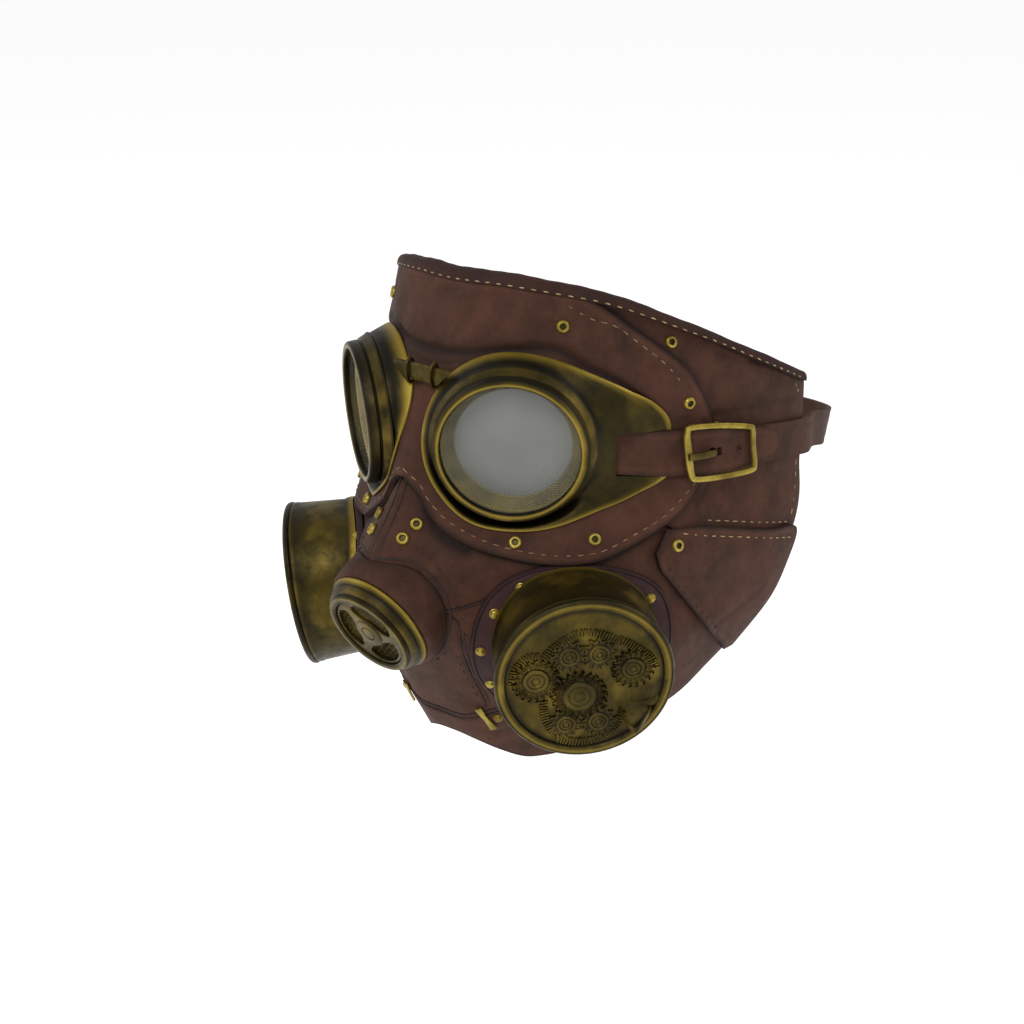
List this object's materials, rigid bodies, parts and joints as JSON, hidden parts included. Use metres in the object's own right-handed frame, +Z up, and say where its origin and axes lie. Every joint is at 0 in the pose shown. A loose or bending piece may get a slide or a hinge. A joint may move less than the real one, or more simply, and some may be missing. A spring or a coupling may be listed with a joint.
{
  "type": "gas mask style costume mask",
  "caption": "Brown leather costume mask in the style of a gas mask, with brass goggles, a grilled front valve, two round canisters and a buckled strap round the head.",
  "frame": {"origin": "inside of the brow leather on the middle line, 40 mm above the lens centres, where the mask rests on the forehead", "axes": "+Z up, +Y back towards the head strap, +X towards the wearer's left; the face looks along -Y"},
  "size_m": [0.2006, 0.2599, 0.1987],
  "materials": {
    "leather": "matte",
    "dark_leather": "satin",
    "flange_leather": "matte",
    "brass": "aged",
    "bright_brass": "satin",
    "glass": "smoked"
  },
  "bodies": {
    "root": {"brow_mask": "leather", "lower_mask": "leather", "temple_panel_left": "leather", "temple_panel_right": "leather", "cheek_panel_left": "leather", "cheek_panel_right": "leather", "top_binding": "dark_leather", "goggle_cup_left": "brass", "goggle_cup_right": "brass", "goggle_rim_left": "brass", "goggle_rim_right": "brass", "goggle_lens_left": "glass", "goggle_lens_right": "glass", "bridge_band": "brass", "bridge_ring_left": "bright_brass", "bridge_ring_right": "bright_brass", "goggle_strap_left": "leather", "goggle_strap_right": "leather", "buckle_frame_left": "bright_brass", "buckle_frame_right": "bright_brass", "buckle_prong_left": "brass", "buckle_prong_right": "brass", "head_strap": "leather", "valve_collar": "leather", "valve_ring": "brass", "valve_grille": "brass", "canister_flange_left": "flange_leather", "canister_flange_right": "flange_leather", "canister_body_left": "brass", "canister_body_right": "brass", "canister_face_left": "brass", "canister_face_right": "brass", "canister_loop_left": "bright_brass", "canister_loop_right": "bright_brass", "chin_clip_left": "bright_brass", "chin_clip_right": "bright_brass", "eyelet_brow_left": "bright_brass", "eyelet_brow_right": "bright_brass", "eyelet_temple_upper_left": "bright_brass", "eyelet_temple_upper_right": "bright_brass", "eyelet_temple_lower_left": "bright_brass", "eyelet_temple_lower_right": "bright_brass", "eyelet_goggle_front_left": "bright_brass", "eyelet_goggle_front_right": "bright_brass", "eyelet_goggle_back_left": "bright_brass", "eyelet_goggle_back_right": "bright_brass", "eyelet_cheek_left": "bright_brass", "eyelet_cheek_right": "bright_brass", "eyelet_nose_upper_left": "bright_brass", "eyelet_nose_upper_right": "bright_brass", "eyelet_nose_lower_left": "bright_brass", "eyelet_nose_lower_right": "bright_brass"}
  },
  "joints": []
}
